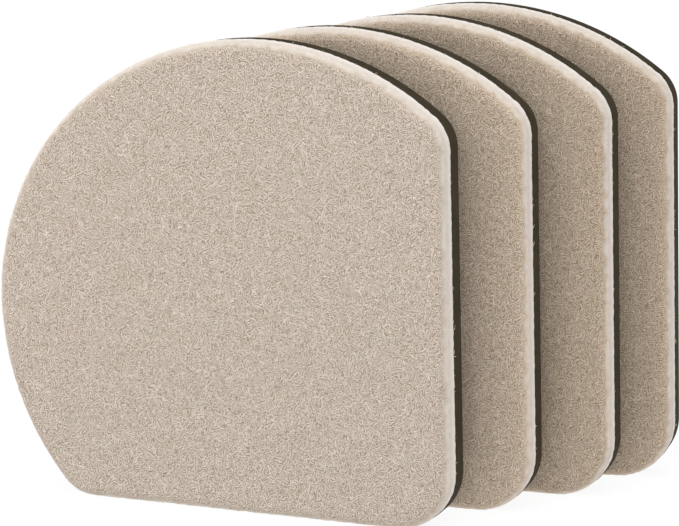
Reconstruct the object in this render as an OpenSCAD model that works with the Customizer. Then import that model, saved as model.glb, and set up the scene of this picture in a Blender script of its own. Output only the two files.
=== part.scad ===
// Furniture sliders for hard floors, a set of four standing on edge in a row.
// Each slider is a laminate of three sheets of one outline:
// a thick felt sole with a rolled edge, a film of adhesive, and a foam grip pad.
// The foam is cut a little smaller and lined up on the two straight edges,
// so it falls short of the felt along the lobe.
// The outline is a big round lobe that turns, over two small heels, into two straight
// edges that meet in a square corner; it is equal on both sides of the corner's diagonal.
// Lengths are in millimetres and angles in degrees.
// +Z is up, the felt soles face -Y, and the square corners point to +X.
// The origin is under the middle of the row.

/* [Pad outline] */
// Radius of the big round lobe
lobe_r = 75.5; // [50:0.5:110]
// How deep each straight edge cuts into the lobe's full circle
edge_cut = 24; // [12:0.5:40]
// Radius of the square corner
corner_r = 15.7; // [8:0.1:30]
// Radius where a straight edge turns into the lobe
heel_r = 11; // [6:0.1:20]

/* [Layers] */
// Thickness of the felt sole
felt_t = 5; // [3:0.1:10]
// Radius of the rolled edge on the gliding side of the felt
felt_edge_r = 3; // [1:0.1:5]
// Thickness of the adhesive film
film_t = 0.25; // [0.1:0.05:0.5]
// Distance of the film from the edge of the felt
film_inset = 1.2; // [1:0.1:4]
// Thickness of the foam grip pad
foam_t = 5.5; // [3:0.1:10]
// How much less than the felt the foam measures, all round
foam_short = 0.4; // [0.1:0.05:0.45]

/* [Row] */
// Slider 2: shift to the side, along the slider in front
side_2 = 14.3; // [0:0.1:40]
// Slider 2: nearest gap to the slider in front
gap_2 = 4.6; // [0.5:0.1:20]
// Slider 2: turn from the slider in front
turn_2 = 2.7; // [0:0.1:12]
// Slider 3: shift to the side, along the slider in front
side_3 = 16.1; // [0:0.1:40]
// Slider 3: nearest gap to the slider in front
gap_3 = 7.2; // [0.5:0.1:20]
// Slider 3: turn from the slider in front
turn_3 = 0; // [0:0.1:12]
// Slider 4: shift to the side, along the slider in front
side_4 = 10.9; // [0:0.1:40]
// Slider 4: nearest gap to the slider in front
gap_4 = 0.8; // [0.5:0.1:20]
// Slider 4: turn from the slider in front
turn_4 = 4.1; // [0:0.1:12]

/* [Hidden] */
$fn = 96;
roll_facets = 20;
felt_colour = [0.77, 0.71, 0.64];
film_colour = [0.45, 0.42, 0.36];
foam_colour = [0.16, 0.14, 0.12];

// Width of one slider, and its height
pad_size = 2 * lobe_r - edge_cut;
// Whole thickness of one slider
slider_t = felt_t + film_t + foam_t;

// The outline's four arcs, counter-clockwise from the square corner.
// The square corner's sharp point is the outline's own zero.
// A heel touches the lobe from inside, where the line through both centres meets them.
lobe_c = lobe_r - edge_cut;
heel_angle = asin((lobe_c - heel_r) / (lobe_r - heel_r));
heel_c = lobe_c + (lobe_r - heel_r) * cos(heel_angle);
arc_centres = [
    [-corner_r, corner_r],
    [-heel_r, heel_c],
    [-lobe_c, lobe_c],
    [-heel_c, heel_r]
];
arc_radii = [corner_r, heel_r, lobe_r, heel_r];
// Direction in which each arc begins; it ends where the next one begins
arc_starts = [-90, 0, 90 - heel_angle, 180 + heel_angle, 270];
// A heel and the lobe share the point where they meet
shared_ends = [0, 1, 1, 0];
arcs = [0 : len(arc_radii) - 1];

// Places of the sliders, each worked out from the one in front of it
heading_2 = turn_2;
heading_3 = heading_2 + turn_3;
heading_4 = heading_3 + turn_4;
back_2 = slider_t + gap_2 + pad_size * sin(turn_2);
back_3 = slider_t + gap_3 + pad_size * sin(turn_3);
back_4 = slider_t + gap_4 + pad_size * sin(turn_4);
spot_2 = [side_2, back_2];
spot_3 = spot_2 + turned([side_3, back_3], heading_2);
spot_4 = spot_3 + turned([side_4, back_4], heading_3);

// Middle of the row's box, from slider 1's left edge and face
// to the right edge of slider 4 and the right end of its back
row_right = spot_4[0] + felt_edge_r * (1 - cos(heading_4) - sin(heading_4));
row_back = spot_4[1] + slider_t * cos(heading_4);
row_mid = [(row_right - pad_size) / 2, row_back / 2];

function along(a) = [cos(a), sin(a)];
function turned(p, a) = [p[0] * cos(a) - p[1] * sin(a), p[0] * sin(a) + p[1] * cos(a)];

// Points along arc i, at a distance in from the outline
function arc_points(i, inset) = let (
    sweep = arc_starts[i + 1] - arc_starts[i],
    steps = ceil(sweep / 360 * $fn)
) [
    for (k = [0 : steps - shared_ends[i]])
        arc_centres[i] + (arc_radii[i] - inset) * along(arc_starts[i] + sweep * k / steps)
];

// Section of a rolled sheet from an arc's centre out to its rim
module rolled_section(reach, t, roll) {
    square([reach, t - roll]);
    square([reach - roll, t]);
    translate([reach - roll, t - roll]) intersection() {
        circle(r = roll, $fn = roll_facets);
        square([roll, roll]);
    }
}

// The sector of a rolled sheet that belongs to arc i
module rolled_sector(i, t, roll) {
    translate(arc_centres[i])
        rotate([0, 0, arc_starts[i]])
            rotate_extrude(angle = arc_starts[i + 1] - arc_starts[i])
                rolled_section(arc_radii[i], t, roll);
}

// A sheet cut square at its edge, lying flat
module cut_sheet(t, inset) {
    linear_extrude(height = t) polygon([for (i = arcs) each arc_points(i, inset)]);
}

// A sheet with its edge rolled over on top, lying flat.
// The outline bulges everywhere, so a skin over the four sectors is the whole sheet.
module rolled_sheet(t, roll) {
    hull() for (i = arcs) rolled_sector(i, t, roll);
}

// Stands a flat sheet up on its edge, its underside at a depth behind the face
module upright(depth) {
    translate([0, depth, 0]) rotate([90, 0, 0]) children();
}

// Puts a slider into its place in the row
module placed(spot, heading) {
    translate(spot - row_mid) rotate([0, 0, heading]) children();
}

module felt_sole() {
    color(felt_colour) upright(felt_t) rolled_sheet(felt_t, felt_edge_r);
}

module bond_film() {
    color(film_colour) upright(felt_t + film_t) cut_sheet(film_t, film_inset);
}

module grip_pad() {
    color(foam_colour) upright(slider_t)
        translate([foam_short, -foam_short, 0]) cut_sheet(foam_t, foam_short);
}

module slider_1_felt_sole() { placed([0, 0], 0) felt_sole(); }
module slider_1_bond_film() { placed([0, 0], 0) bond_film(); }
module slider_1_grip_pad() { placed([0, 0], 0) grip_pad(); }

module slider_2_felt_sole() { placed(spot_2, heading_2) felt_sole(); }
module slider_2_bond_film() { placed(spot_2, heading_2) bond_film(); }
module slider_2_grip_pad() { placed(spot_2, heading_2) grip_pad(); }

module slider_3_felt_sole() { placed(spot_3, heading_3) felt_sole(); }
module slider_3_bond_film() { placed(spot_3, heading_3) bond_film(); }
module slider_3_grip_pad() { placed(spot_3, heading_3) grip_pad(); }

module slider_4_felt_sole() { placed(spot_4, heading_4) felt_sole(); }
module slider_4_bond_film() { placed(spot_4, heading_4) bond_film(); }
module slider_4_grip_pad() { placed(spot_4, heading_4) grip_pad(); }

slider_1_felt_sole();
slider_1_bond_film();
slider_1_grip_pad();
slider_2_felt_sole();
slider_2_bond_film();
slider_2_grip_pad();
slider_3_felt_sole();
slider_3_bond_film();
slider_3_grip_pad();
slider_4_felt_sole();
slider_4_bond_film();
slider_4_grip_pad();
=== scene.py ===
# Four furniture sliders of felt and foam, standing on edge in a staggered row on a pale table.
import math

import bpy
import numpy as np
from mathutils import Matrix, Vector


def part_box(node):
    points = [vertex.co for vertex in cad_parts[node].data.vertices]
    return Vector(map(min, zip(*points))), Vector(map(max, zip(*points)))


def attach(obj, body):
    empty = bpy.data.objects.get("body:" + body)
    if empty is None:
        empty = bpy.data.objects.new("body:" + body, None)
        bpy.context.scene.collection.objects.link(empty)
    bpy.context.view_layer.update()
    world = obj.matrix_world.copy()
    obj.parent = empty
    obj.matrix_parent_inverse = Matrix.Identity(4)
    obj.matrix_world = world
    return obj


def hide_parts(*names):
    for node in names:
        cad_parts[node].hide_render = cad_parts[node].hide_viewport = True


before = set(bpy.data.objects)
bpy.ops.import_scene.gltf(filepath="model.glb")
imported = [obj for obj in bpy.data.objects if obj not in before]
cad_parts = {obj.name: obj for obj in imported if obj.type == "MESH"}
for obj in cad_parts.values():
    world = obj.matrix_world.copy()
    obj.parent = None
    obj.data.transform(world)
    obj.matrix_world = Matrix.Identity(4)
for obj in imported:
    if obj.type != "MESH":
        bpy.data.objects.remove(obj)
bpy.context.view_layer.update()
scene = bpy.context.scene


# The photograph's viewpoint: a long lens, a little above the sliders and to their right,
# turned by about a degree. Angles and distance were fitted to the sliders' outlines.
photo_width_px = 679
photo_focal_px = 5127.5
sensor_mm = 36
view_depth = 20
camera_place = Vector((0.50221, -1.20204, 0.42628))
camera_yaw = -0.3958
camera_pitch = 0.2741
camera_roll = 0.0234

ahead = Vector((
    math.sin(camera_yaw) * math.cos(camera_pitch),
    math.cos(camera_yaw) * math.cos(camera_pitch),
    -math.sin(camera_pitch),
))
level_right = Vector((math.cos(camera_yaw), -math.sin(camera_yaw), 0))
level_up = level_right.cross(ahead)
rolled_right = level_right * math.cos(camera_roll) - level_up * math.sin(camera_roll)
rolled_up = level_up * math.cos(camera_roll) + level_right * math.sin(camera_roll)
bpy.ops.object.select_all(action="DESELECT")
bpy.ops.object.camera_add()
camera = bpy.context.object
camera.name = "photo_camera"
camera.matrix_world = Matrix((
    (rolled_right.x, rolled_up.x, -ahead.x, camera_place.x),
    (rolled_right.y, rolled_up.y, -ahead.y, camera_place.y),
    (rolled_right.z, rolled_up.z, -ahead.z, camera_place.z),
    (0, 0, 0, 1),
))
camera.data.sensor_width = sensor_mm
camera.data.lens = photo_focal_px / photo_width_px * sensor_mm
camera.data.clip_end = view_depth
scene.camera = camera


# The table: a plain white sheet that runs far behind the sliders. It glows a little,
# which throws light back under their edges and leaves hardly any shadow.
table_size = 6
table_drop = 0.0002
bpy.ops.object.select_all(action="DESELECT")
bpy.ops.mesh.primitive_plane_add(size=table_size, location=(0, 0, -table_drop))
table = bpy.context.object
table.name = "pale_table"
white_sheet = bpy.data.materials.new("white_sheet")
white_sheet.use_nodes = True
sheet_shader = white_sheet.node_tree.nodes["Principled BSDF"]
sheet_shader.inputs["Base Color"].default_value = (0.1, 0.1, 0.1, 1)
sheet_shader.inputs["Roughness"].default_value = 0.9
sheet_shader.inputs["Specular IOR Level"].default_value = 0
sheet_shader.inputs["Emission Color"].default_value = (1, 1, 1, 1)
sheet_shader.inputs["Emission Strength"].default_value = 0.92
table.data.materials.append(white_sheet)


# The light: a faint white tent all round and five soft boxes. The near one on the left fades
# across the faces, a small one beside the row edges them from the left, those in front and
# on the right reach into the gaps, and the widest one overhead brightens the upper edges.
tent = bpy.data.worlds.new("light_tent")
tent.use_nodes = True
tent.node_tree.nodes["Background"].inputs["Color"].default_value = (1, 1, 1, 1)
tent.node_tree.nodes["Background"].inputs["Strength"].default_value = 0.26
scene.world = tent
row_middle = Vector((0, 0, 0.06))

# Each soft box's name, place, size and power; all face the middle of the row
soft_boxes = [
    ("left_box", (-0.45, -0.45, 0.25), 0.4, 0.85),
    ("front_box", (0, -1.0, 0.8), 1.2, 7.6),
    ("side_box", (-0.8, 0.03, 0.18), 0.3, 2),
    ("right_box", (1.2, -0.4, 0.4), 0.8, 3.7),
    ("overhead_box", (0.1, -0.1, 1.3), 1.4, 12.8),
]
for box_name, box_place, box_size, box_power in soft_boxes:
    bpy.ops.object.select_all(action="DESELECT")
    bpy.ops.object.light_add(type="AREA", location=box_place)
    soft_box = bpy.context.object
    soft_box.name = box_name
    soft_box.data.size = box_size
    soft_box.data.energy = box_power
    soft_box.rotation_mode = "QUATERNION"
    soft_box.rotation_quaternion = (row_middle - soft_box.location).to_track_quat("-Z", "Y")
    soft_box.visible_camera = False
scene.view_settings.view_transform = "Standard"
scene.view_settings.look = "None"


# Felt soles: needled beige felt, about five millimetres thick, die cut to the outline.
# The knife rolls the gliding side's edge over and packs the fibres there, so it is smooth.
lobe_r = 0.0755
edge_cut = 0.024
corner_r = 0.0157
heel_r = 0.011
felt_t = 0.005
felt_edge_r = 0.003
film_t = 0.00025
foam_t = 0.0055
quarter = math.pi / 2
lobe_c = lobe_r - edge_cut
heel_angle = math.asin((lobe_c - heel_r) / (lobe_r - heel_r))
heel_c = lobe_c + (lobe_r - heel_r) * math.cos(heel_angle)
slider_t = felt_t + film_t + foam_t
pad_size = 2 * lobe_r - edge_cut

# Each slider's shift along the one in front, nearest gap to it, and turn from it in degrees
row_steps = [(0.0143, 0.0046, 2.7), (0.0161, 0.0072, 0.0), (0.0109, 0.0008, 4.1)]
places = [Matrix.Identity(4)]
for side, gap, degrees in row_steps:
    back = slider_t + gap + pad_size * math.sin(math.radians(degrees))
    step = Matrix.Translation((side, back, 0)) @ Matrix.Rotation(math.radians(degrees), 4, "Z")
    places.append(places[-1] @ step)
felt_low, felt_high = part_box("slider_1_felt_sole")
row_shift = Matrix.Translation((felt_high[0], felt_low[1], 0))
places = [row_shift @ p for p in places]


def draw_outline(name, depth, inset=0):
    """A flat face with the slider's outline, or one set in from it.

    A single point is drawn round, from the foot of the square corner and back to it.
    """
    seed_size = 0.01
    weld = 0.00005
    corner_steps = 36
    edge_steps = 130
    heel_steps = 15
    lobe_steps = 330
    heel_sweep = quarter - heel_angle
    lobe_sweep = quarter + 2 * heel_angle
    edge_step = (heel_c - corner_r) / edge_steps
    corner_at = (-corner_r, depth, corner_r)
    upper_heel_at = (-heel_r, depth, heel_c)
    lobe_at = (-lobe_c, depth, lobe_c)
    lower_heel_at = (-heel_c, depth, heel_r)
    across = (0, 1, 0)
    bpy.ops.object.select_all(action="DESELECT")
    bpy.ops.mesh.primitive_plane_add(size=seed_size)
    piece = bpy.context.object
    piece.name = name
    bpy.ops.object.mode_set(mode="EDIT")
    bpy.ops.mesh.select_mode(type="VERT")
    bpy.ops.mesh.select_all(action="SELECT")
    bpy.ops.mesh.merge(type="CENTER")
    bpy.ops.transform.translate(value=(-corner_r, depth, inset))
    bpy.ops.mesh.spin(steps=corner_steps, angle=quarter, center=corner_at, axis=across)
    bpy.ops.mesh.extrude_repeat(steps=edge_steps, offset=(0, 0, edge_step))
    bpy.ops.mesh.spin(steps=heel_steps, angle=heel_sweep, center=upper_heel_at, axis=across)
    bpy.ops.mesh.spin(steps=lobe_steps, angle=lobe_sweep, center=lobe_at, axis=across)
    bpy.ops.mesh.spin(steps=heel_steps, angle=heel_sweep, center=lower_heel_at, axis=across)
    bpy.ops.mesh.extrude_repeat(steps=edge_steps, offset=(edge_step, 0, 0))
    bpy.ops.mesh.select_all(action="SELECT")
    bpy.ops.mesh.remove_doubles(threshold=weld)
    bpy.ops.mesh.edge_face_add()
    bpy.ops.object.mode_set(mode="OBJECT")
    return piece


def distance_in(x, z):
    """How far a point of the pad lies inside the outline."""
    inside = np.minimum(np.minimum(-x, z), lobe_r - np.hypot(x + lobe_c, z - lobe_c))
    in_corner = (x > -corner_r) & (z < corner_r)
    inside = np.where(in_corner, corner_r - np.hypot(x + corner_r, z - corner_r), inside)
    for u, v in ((x, z), (-z, -x)):
        round_heel = np.arctan2(v - heel_c, u + heel_r)
        in_heel = (round_heel > 0) & (round_heel < quarter - heel_angle)
        inside = np.where(in_heel, heel_r - np.hypot(u + heel_r, v - heel_c), inside)
    return inside


def select_flat(piece, depth):
    """Selects the faces of a piece that lie flat at one depth, in edit mode."""
    depth_slack = 0.00002
    facing_share = 0.99
    bpy.ops.object.mode_set(mode="EDIT")
    bpy.ops.mesh.select_all(action="DESELECT")
    bpy.ops.mesh.select_mode(type="FACE")
    bpy.ops.object.mode_set(mode="OBJECT")
    for face in piece.data.polygons:
        at_depth = abs(face.center.y - depth) < depth_slack
        face.select = at_depth and abs(face.normal.y) > facing_share
    bpy.ops.object.mode_set(mode="EDIT")


def roll_edge(radius, steps):
    """Rolls the rim of the selected flat face over by a quarter circle."""
    for k in range(steps):
        low = quarter * k / steps
        high = quarter * (k + 1) / steps
        bpy.ops.mesh.inset(
            thickness=radius * (math.cos(low) - math.cos(high)),
            depth=radius * (math.sin(high) - math.sin(low)),
        )


felt_roll_steps = 8
face_rings = (0.0009, 0.0011, 0.0013)
face_span = 164
smooth_below = math.radians(40)
felt = draw_outline("felt_sole", felt_t)
bpy.ops.object.mode_set(mode="EDIT")
bpy.ops.mesh.select_all(action="SELECT")
bpy.ops.mesh.extrude_region_move(TRANSFORM_OT_translate={"value": (0, felt_edge_r - felt_t, 0)})
bpy.ops.mesh.select_all(action="SELECT")
bpy.ops.mesh.normals_make_consistent(inside=False)
select_flat(felt, felt_edge_r)
roll_edge(felt_edge_r, felt_roll_steps)
for ring in face_rings:
    bpy.ops.mesh.inset(thickness=ring, depth=0)
bpy.ops.mesh.delete(type="ONLY_FACE")
bpy.ops.mesh.select_mode(type="EDGE")
bpy.ops.mesh.select_non_manifold(extend=False, use_wire=False, use_multi_face=False,
                                 use_non_contiguous=False, use_verts=False)
bpy.ops.mesh.fill_grid(span=face_span)
bpy.ops.mesh.select_all(action="SELECT")
bpy.ops.mesh.normals_make_consistent(inside=False)
bpy.ops.object.mode_set(mode="OBJECT")
bpy.ops.object.shade_smooth_by_angle(angle=smooth_below)

# Two masks: the packed rim fades in over the rolled edge, the cut side begins behind it
rim_full = 0.0003
rim_fade = 0.0019
side_start = 0.0022
side_fade = 0.0016
roll_end = felt_edge_r * 0.9
points = np.array([v.co[:] for v in felt.data.vertices])
deep = np.where(points[:, 1] > roll_end, 0, distance_in(points[:, 0], points[:, 2]))
rim_share = 1 - np.clip((deep - rim_full) / rim_fade, 0, 1)
side_share = np.clip((points[:, 1] - side_start) / side_fade, 0, 1)
felt.data.attributes.new("packed_rim", "FLOAT", "POINT").data.foreach_set("value", rim_share)
felt.data.attributes.new("cut_side", "FLOAT", "POINT").data.foreach_set("value", side_share)

# Felt is never quite flat: shallow dents and swells all over
unevenness = bpy.data.textures.new("felt_unevenness", "CLOUDS")
unevenness.noise_scale = 0.006
unevenness.noise_depth = 2
swell = felt.modifiers.new("swell", "DISPLACE")
swell.texture = unevenness
swell.texture_coords = "LOCAL"
swell.strength = 0.00012
swell.mid_level = 0.5
bpy.ops.object.modifier_apply(modifier="swell")

# The cut edge is not quite clean: small lumps where the knife dragged the fibres
lump_start = 0.0005
lumps = bpy.data.textures.new("edge_lumps", "CLOUDS")
lumps.noise_scale = 0.0013
lumps.noise_depth = 1
cut_edge = felt.vertex_groups.new(name="cut_edge")
for index in np.flatnonzero(rim_share * (points[:, 1] > lump_start)):
    cut_edge.add([int(index)], float(rim_share[index]), "REPLACE")
drag = felt.modifiers.new("drag", "DISPLACE")
drag.texture = lumps
drag.texture_coords = "LOCAL"
drag.vertex_group = "cut_edge"
drag.strength = 0.0003
drag.mid_level = 0.5
bpy.ops.object.modifier_apply(modifier="drag")


def give(tree, given, socket):
    """Links a socket to an input, or sets a value on it."""
    if isinstance(given, bpy.types.NodeSocket):
        tree.links.new(given, socket)
    else:
        socket.default_value = given


def add_math(tree, operation, *givens):
    """A sum of sockets and numbers."""
    node = tree.nodes.new("ShaderNodeMath")
    node.operation = operation
    for given, socket in zip(givens, node.inputs):
        give(tree, given, socket)
    return node.outputs[0]


def add_mix(tree, data_type, first, second, factor, blend_type="MIX"):
    """The first value or colour turning into the second, or multiplied by it."""
    node = tree.nodes.new("ShaderNodeMix")
    node.data_type = data_type
    node.blend_type = blend_type
    give(tree, factor, node.inputs["Factor"])
    give(tree, first, node.inputs["A"])
    give(tree, second, node.inputs["B"])
    return node.outputs["Result"]


def add_range(tree, value, old_ends, new_ends):
    """A value whose range is stretched from one pair of ends to another and held there."""
    node = tree.nodes.new("ShaderNodeMapRange")
    node.inputs["From Min"].default_value = old_ends[0]
    node.inputs["From Max"].default_value = old_ends[1]
    node.inputs["To Min"].default_value = new_ends[0]
    node.inputs["To Max"].default_value = new_ends[1]
    tree.links.new(value, node.inputs["Value"])
    return node.outputs["Result"]


def add_noise(tree, spot, per_m, detail=0, roughness=0.5):
    """Soft noise with so many lumps to the metre."""
    node = tree.nodes.new("ShaderNodeTexNoise")
    node.inputs["Scale"].default_value = per_m
    node.inputs["Detail"].default_value = detail
    node.inputs["Roughness"].default_value = roughness
    tree.links.new(spot, node.inputs["Vector"])
    return node.outputs


def add_attribute(tree, name):
    """A value that the mesh carries."""
    node = tree.nodes.new("ShaderNodeAttribute")
    node.attribute_name = name
    return node.outputs


def add_relief(tree, height, strength, distance, shader):
    """Bump from a height, given to a shader."""
    node = tree.nodes.new("ShaderNodeBump")
    node.inputs["Strength"].default_value = strength
    node.inputs["Distance"].default_value = distance
    tree.links.new(height, node.inputs["Height"])
    tree.links.new(node.outputs["Normal"], shader.inputs["Normal"])


def new_finish(name):
    """A new material, its node tree, its shader, and the spot that is shaded."""
    finish = bpy.data.materials.new(name)
    finish.use_nodes = True
    tree = finish.node_tree
    spot = tree.nodes.new("ShaderNodeTexCoord").outputs["Object"]
    return finish, tree, tree.nodes["Principled BSDF"], spot


# Needled fibres: fine waves that bend with a soft noise curl like the strands of a felted mat.
# Patches of three directions lie side by side, and two such mats lie over each other.
# Each mat's strands, bends and patches per metre, and its share of the pattern
mats = [(2000, 700, 700, 0.58), (1200, 900, 600, 0.42)]
mat_ways = [(1.0, 0.3, 0.09), (0.42, -0.3, 0.91), (-0.57, 0.3, 0.82)]
mat_levels = (0.5, 0.55)
mat_shift = 0.5
bend_shift = 0.37
patch_shift = 0.61
patch_blend = 0.05
strand_bend = 2.4
pattern_contrast = 0.8
pattern_middle = 0.5
needled = bpy.data.node_groups.new("needled_fibres", "ShaderNodeTree")
needled.interface.new_socket("Vector", in_out="INPUT", socket_type="NodeSocketVector")
needled.interface.new_socket("Fibres", in_out="OUTPUT", socket_type="NodeSocketFloat")
group_in = needled.nodes.new("NodeGroupInput")
group_out = needled.nodes.new("NodeGroupOutput")


def add_channels(per_m, shift):
    """Three soft noises of one size, as the channels of a colour."""
    moved = needled.nodes.new("ShaderNodeVectorMath")
    moved.operation = "ADD"
    moved.inputs[1].default_value = (shift, shift, shift)
    needled.links.new(group_in.outputs["Vector"], moved.inputs[0])
    noise = add_noise(needled, moved.outputs[0], per_m)
    channels = needled.nodes.new("ShaderNodeSeparateColor")
    needled.links.new(noise["Color"], channels.inputs["Color"])
    return channels.outputs


def add_choice(chooser, level, first, second):
    """The second wave where the chooser is above a level, else the first."""
    mask = add_range(needled, chooser, (level - patch_blend, level + patch_blend), (0, 1))
    return add_mix(needled, "FLOAT", first, second, mask)


mat_sum = 0.0
for number, (strands_per_m, bends_per_m, patches_per_m, share) in enumerate(mats):
    bends = add_channels(bends_per_m, bend_shift + mat_shift * number)
    patches = add_channels(patches_per_m, patch_shift + mat_shift * number)
    waves = []
    for bend, way in zip(bends, mat_ways):
        along_way = needled.nodes.new("ShaderNodeVectorMath")
        along_way.operation = "DOT_PRODUCT"
        along_way.inputs[1].default_value = way
        needled.links.new(group_in.outputs["Vector"], along_way.inputs[0])
        run = along_way.outputs["Value"]
        sway = add_math(needled, "MULTIPLY", bend, math.tau * strand_bend)
        swayed = add_math(needled, "MULTIPLY_ADD", run, math.tau * strands_per_m, sway)
        waves.append(add_math(needled, "SINE", swayed))
    two_ways = add_choice(patches[0], mat_levels[0], waves[0], waves[1])
    mat = add_choice(patches[1], mat_levels[1], two_ways, waves[2])
    mat_sum = add_math(needled, "MULTIPLY_ADD", mat, share, mat_sum)
fibre_height = add_math(needled, "MULTIPLY_ADD", mat_sum, pattern_contrast, pattern_middle)

# The needles leave small pits between the strands: sunk in the relief, and painted dark as painted
# shade in them
pits_per_m = 1900
pit_shift = 0.83
pit_levels = (0.63, 0.73)
pit_depth = 0.5
pit_chance = add_channels(pits_per_m, pit_shift)[0]
pit_dents_and_shade = add_range(needled, pit_chance, pit_levels, (0, pit_depth))
pitted = add_math(needled, "SUBTRACT", fibre_height, pit_dents_and_shade)
pitted.node.use_clamp = True
needled.links.new(pitted, group_out.inputs["Fibres"])

felt_finish, tree, felt_shader, spot = new_finish("beige_felt")
felt_shader.inputs["Roughness"].default_value = 0.95
felt_shader.inputs["Specular IOR Level"].default_value = 0.1
fibre_group = tree.nodes.new("ShaderNodeGroup")
fibre_group.node_tree = needled
tree.links.new(spot, fibre_group.inputs["Vector"])
fibres = fibre_group.outputs["Fibres"]
rim = add_attribute(tree, "packed_rim")["Fac"]
cut = add_attribute(tree, "cut_side")["Fac"]
# The painted gap shade that each sole carries: darker and warmer on the soles behind the first
painted_gap_tone = add_attribute(tree, "painted_gap_shade")["Color"]

# The rim is worn unevenly, and the pattern of the fibres fades out on it
wear_per_m = 380
wear_share = 0.8
wear_offset = 0.43
calm_middle = 0.52
# The fibre pattern is the felt's grain; its pale tone is a painted highlight on the strand tops
# and its dark tone painted shade in the gaps between them
fibre_gap_shade = (0.275, 0.22, 0.172, 1)
fibre_top_highlight = (0.645, 0.568, 0.495, 1)
wear = add_noise(tree, spot, wear_per_m, detail=1)["Fac"]
worn_rim = add_math(tree, "MULTIPLY_ADD", wear, wear_share, rim)
worn_share = add_math(tree, "SUBTRACT", worn_rim, wear_offset)
calm = add_range(tree, worn_share, (0, 0.85), (0, 0.88))
fibre_share = add_mix(tree, "FLOAT", fibres, calm_middle, calm)
fibre_tone = add_mix(tree, "RGBA", fibre_gap_shade, fibre_top_highlight, fibre_share)

# The face is faintly mottled, and the soles behind the first are painted darker and warmer:
# painted shade for the gaps between the sliders
mottle_per_m = 260
pinkish = (1.06, 1.015, 1.03, 1)
greenish = (0.945, 0.98, 0.945, 1)
mottle = add_noise(tree, spot, mottle_per_m, detail=2)["Fac"]
hue = add_mix(tree, "RGBA", pinkish, greenish, mottle)
hued = add_mix(tree, "RGBA", fibre_tone, hue, 1, "MULTIPLY")
face_tone = add_mix(tree, "RGBA", hued, painted_gap_tone, 1, "MULTIPLY")

# The packed rim is paler and streaked, and the cut side behind it paler still: partly the packed
# and cut fibres' own tone, partly painted sheen on the edge
streaks_per_m = 900
dark_rim = (0.52, 0.463, 0.405, 1)
pale_rim = (0.71, 0.64, 0.57, 1)
cut_fibre_and_sheen = (0.77, 0.725, 0.68, 1)
streaks = add_noise(tree, spot, streaks_per_m, detail=2)["Fac"]
packed_tone_and_sheen = add_mix(tree, "RGBA", dark_rim, pale_rim, streaks)
packed = add_range(tree, worn_share, (0.4, 1), (0, 0.9))
packed.node.interpolation_type = "SMOOTHSTEP"
rim_tone = add_mix(tree, "RGBA", face_tone, packed_tone_and_sheen, packed)
side_tone = add_mix(tree, "RGBA", rim_tone, cut_fibre_and_sheen, cut)
tree.links.new(side_tone, felt_shader.inputs["Base Color"])

# The strands stand out a little, and hardly at all on the rim
rim_loft = 0.15
open_face = add_range(tree, rim, (0, 1), (1, rim_loft))
loft = add_math(tree, "MULTIPLY", fibres, open_face)
add_relief(tree, loft, 0.25, 0.0002, felt_shader)
felt.data.materials.append(felt_finish)

# Painted shade: the soles behind the first are painted darker and warmer, for the shade and warm
# bounce light in the gaps between the sliders
painted_gap_shades = [(1, 1, 1), (1.0, 0.95, 0.875), (0.90, 0.85, 0.77), (0.92, 0.865, 0.785)]
for number, (place, painted_gap_shade) in enumerate(zip(places, painted_gap_shades), 1):
    sole = felt.copy()
    sole.data = felt.data.copy()
    sole.name = f"felt_sole_{number}"
    gap_shade_layer = sole.data.attributes.new("painted_gap_shade", "FLOAT_COLOR", "POINT")
    gap_shade_layer.data.foreach_set("color", np.tile((*painted_gap_shade, 1), len(sole.data.vertices)))
    scene.collection.objects.link(sole)
    sole.data.transform(place)
    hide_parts(f"slider_{number}_felt_sole")
    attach(sole, f"slider_{number}")
bpy.data.objects.remove(felt)


# Loose fibres: short curled strands that lie on the face of the felt and end before its rim.
# Each is a thin three-sided curve; they stand in one skin per slider.
# Where a size varies, its least value and its spread are given.
strand_count = 4000
strand_points = 5
strand_least, strand_spread = 0.0016, 0.0024
strand_turn_per_m = 350
strand_kink = 0.22
rise_least, rise_spread = 0.00001, 0.00004
radius_least, radius_spread = 0.00005, 0.00004
rim_clear_least, rim_clear_spread = 0.002, 0.002
first_seed = 40
weld = 0.000001
along = np.linspace(0, 1, strand_points)
strand_taper = np.array([0.5, 1, 1, 1, 0.5])

# Stray hairs that the knife pulled out of the cut side; they lie back over the foam
hair_count = 45
hair_low, hair_span = 0.012, 0.09
lobe_start = quarter - heel_angle
lobe_span = quarter + heel_angle
lift_least, lift_spread = 0.0001, 0.0002
drift_spread = 0.0005
root_least, root_spread = 0.0036, 0.001
reach_least, reach_spread = 0.0006, 0.0016
hair_radius_least, hair_radius_spread = 0.00004, 0.00004

strand_finish, tree, strand_shader, spot = new_finish("felt_strands")
strand_shader.inputs["Roughness"].default_value = 0.95
strand_shader.inputs["Specular IOR Level"].default_value = 0.1
batch_per_m = 420
dark_strand = (0.48, 0.42, 0.355, 1)
pale_strand = (0.98, 0.905, 0.825, 1)
batch = add_noise(tree, spot, batch_per_m, detail=2)["Fac"]
dye = add_mix(tree, "RGBA", dark_strand, pale_strand, batch)
# The strands on each sole carry the same painted gap shade as its felt
painted_gap_tone = add_attribute(tree, "painted_gap_shade")["Color"]
strand_tone = add_mix(tree, "RGBA", dye, painted_gap_tone, 1, "MULTIPLY")
tree.links.new(strand_tone, strand_shader.inputs["Base Color"])

bpy.ops.object.select_all(action="DESELECT")
bpy.ops.curve.primitive_bezier_circle_add(radius=1)
strand_section = bpy.context.object
strand_section.name = "strand_section"
strand_section.data.splines.clear()
section_sides = 3
section_line = strand_section.data.splines.new("POLY")
section_line.points.add(section_sides - 1)
for corner in range(section_sides):
    bearing = math.tau * corner / section_sides
    section_line.points[corner].co = (math.cos(bearing), math.sin(bearing), 0, 1)
section_line.use_cyclic_u = True


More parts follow.
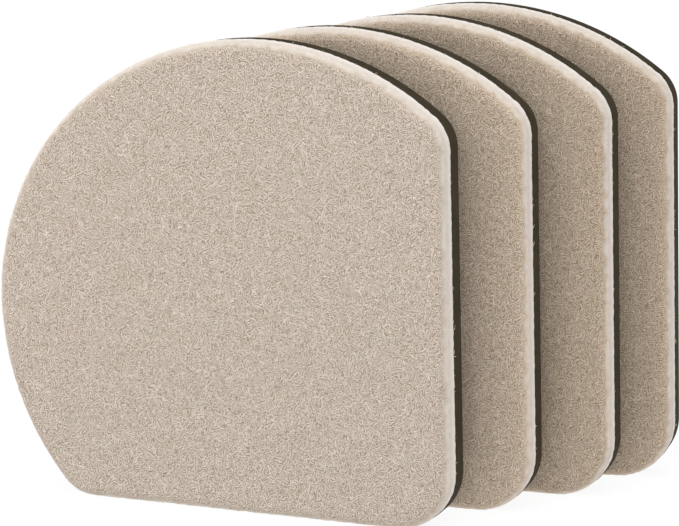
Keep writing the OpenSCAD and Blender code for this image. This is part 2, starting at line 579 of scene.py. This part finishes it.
def add_strand(skin, x, y, z, thick):
    """One strand as a line of points with a thickness at each."""
    strand = skin.splines.new("POLY")
    strand.points.add(len(x) - 1)
    strand.points.foreach_set("co", np.stack([x, y, z, np.ones(len(x))], 1).ravel())
    strand.points.foreach_set("radius", thick)


for number, (place, painted_gap_shade) in enumerate(zip(places, painted_gap_shades), 1):
    chance = np.random.default_rng(first_seed + number)
    drawn = 3 * strand_count
    x = -pad_size * chance.random(drawn)
    z = pad_size * chance.random(drawn)
    length = strand_least + strand_spread * chance.random(drawn)
    heading = math.tau * chance.random(drawn)
    curl = chance.normal(0, strand_turn_per_m, drawn) * length
    kink = chance.normal(0, strand_kink, (drawn, strand_points))
    bearing = heading[:, None] + curl[:, None] * along + kink
    stride = length[:, None] / (strand_points - 1)
    px = x[:, None] + np.cumsum(np.cos(bearing) * stride, 1)
    pz = z[:, None] + np.cumsum(np.sin(bearing) * stride, 1)
    rise = (rise_least + rise_spread * chance.random(drawn))[:, None] * np.sin(math.pi * along)
    thick = (radius_least + radius_spread * chance.random(drawn))[:, None] * strand_taper
    edge_room = distance_in(px, pz).min(1)
    rim_clear = rim_clear_least + rim_clear_spread * chance.random(drawn)
    kept = np.flatnonzero(edge_room > rim_clear)[:strand_count]
    skin = bpy.data.curves.new(f"felt_nap_{number}", "CURVE")
    skin.dimensions = "3D"
    skin.bevel_mode = "OBJECT"
    skin.bevel_object = strand_section
    skin.use_fill_caps = True
    for k in kept:
        add_strand(skin, px[k], -rise[k], pz[k], thick[k])
    for k in range(hair_count):
        on_edge = chance.random() < 0.5
        bearing = lobe_start + lobe_span * chance.random()
        out_x = 1 if on_edge else math.cos(bearing)
        out_z = 0 if on_edge else math.sin(bearing)
        root_x = 0 if on_edge else -lobe_c + lobe_r * out_x
        root_z = hair_low + hair_span * chance.random() if on_edge else lobe_c + lobe_r * out_z
        lift = (lift_least + lift_spread * chance.random()) * np.sin(math.pi * along)
        drift = chance.normal(0, drift_spread) * along
        root_y = root_least + root_spread * chance.random()
        reach = reach_least + reach_spread * chance.random()
        hair_radius = hair_radius_least + hair_radius_spread * chance.random()
        hair_x = root_x + out_x * lift - out_z * drift
        hair_y = root_y + reach * along
        hair_z = root_z + out_z * lift + out_x * drift
        add_strand(skin, hair_x, hair_y, hair_z, hair_radius * strand_taper)
    nap = bpy.data.objects.new(f"felt_nap_{number}", skin)
    scene.collection.objects.link(nap)
    bpy.ops.object.select_all(action="DESELECT")
    nap.select_set(True)
    bpy.context.view_layer.objects.active = nap
    bpy.ops.object.convert(target="MESH")
    bpy.ops.object.mode_set(mode="EDIT")
    bpy.ops.mesh.select_all(action="SELECT")
    bpy.ops.mesh.remove_doubles(threshold=weld)
    bpy.ops.mesh.normals_make_consistent(inside=False)
    bpy.ops.object.mode_set(mode="OBJECT")
    # Each skin carries its sole's painted gap shade
    gap_shade_layer = nap.data.attributes.new("painted_gap_shade", "FLOAT_COLOR", "POINT")
    gap_shade_layer.data.foreach_set("color", np.tile((*painted_gap_shade, 1), len(nap.data.vertices)))
    nap.data.transform(place)
    nap.data.materials.clear()
    nap.data.materials.append(strand_finish)
    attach(nap, f"slider_{number}")
bpy.data.objects.remove(strand_section)


# Bond films: dried contact adhesive between felt and foam, kept in from the edge.
# Only a hairline groove shows where they stop.
glue, tree, glue_shader, spot = new_finish("dried_adhesive")
glue_shader.inputs["Roughness"].default_value = 0.6
brush_per_m = 200
thin_glue = (0.10, 0.08, 0.055, 1)
thick_glue = (0.20, 0.17, 0.12, 1)
brush_marks = add_noise(tree, spot, brush_per_m, detail=4)["Fac"]
glue_tone = add_mix(tree, "RGBA", thin_glue, thick_glue, brush_marks)
tree.links.new(glue_tone, glue_shader.inputs["Base Color"])
for number in range(1, len(places) + 1):
    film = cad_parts[f"slider_{number}_bond_film"]
    film.data.materials.clear()
    film.data.materials.append(glue)


# Grip pads: closed-cell foam rubber, dark brown-black, die cut a little smaller than the felt
# and lined up with it on the two straight edges. The cut edge shows fine cells, and the cut
# has eased both of its arrises a little.
foam_short = 0.0004
foam_arris = 0.0004
foam_roll_steps = 3
foam_front = felt_t + film_t + foam_arris
foam_back = slider_t - foam_arris
foam = draw_outline("grip_pad", foam_front, foam_short)
bpy.ops.object.mode_set(mode="EDIT")
bpy.ops.mesh.select_all(action="SELECT")
bpy.ops.transform.translate(value=(foam_short, 0, -foam_short))
bpy.ops.mesh.extrude_region_move(TRANSFORM_OT_translate={"value": (0, foam_t - 2 * foam_arris, 0)})
bpy.ops.mesh.select_all(action="SELECT")
bpy.ops.mesh.normals_make_consistent(inside=False)
select_flat(foam, foam_back)
roll_edge(foam_arris, foam_roll_steps)
select_flat(foam, foam_front)
roll_edge(foam_arris, foam_roll_steps)
bpy.ops.object.mode_set(mode="OBJECT")
bpy.ops.object.shade_smooth_by_angle(angle=smooth_below)

foam_finish, tree, foam_shader, spot = new_finish("dark_foam_rubber")
foam_shader.inputs["Specular IOR Level"].default_value = 0.08
cells_per_m = 3200
foam_patches_per_m = 160
dark_foam = (0.018, 0.014, 0.008, 1)
pale_foam = (0.073, 0.058, 0.035, 1)
foam_patches = add_noise(tree, spot, foam_patches_per_m, detail=6, roughness=0.7)["Fac"]
foam_tone = add_mix(tree, "RGBA", dark_foam, pale_foam, foam_patches)
tree.links.new(foam_tone, foam_shader.inputs["Base Color"])
dull = add_range(tree, foam_patches, (0, 1), (0.75, 0.95))
tree.links.new(dull, foam_shader.inputs["Roughness"])
cells = tree.nodes.new("ShaderNodeTexVoronoi")
cells.inputs["Scale"].default_value = cells_per_m
tree.links.new(spot, cells.inputs["Vector"])
add_relief(tree, cells.outputs["Distance"], 0.5, 0.0001, foam_shader)
foam.data.materials.append(foam_finish)

for number, place in enumerate(places, 1):
    pad = foam.copy()
    pad.data = foam.data.copy()
    pad.name = f"grip_pad_{number}"
    scene.collection.objects.link(pad)
    pad.data.transform(place)
    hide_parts(f"slider_{number}_grip_pad")
    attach(pad, f"slider_{number}")
bpy.data.objects.remove(foam)
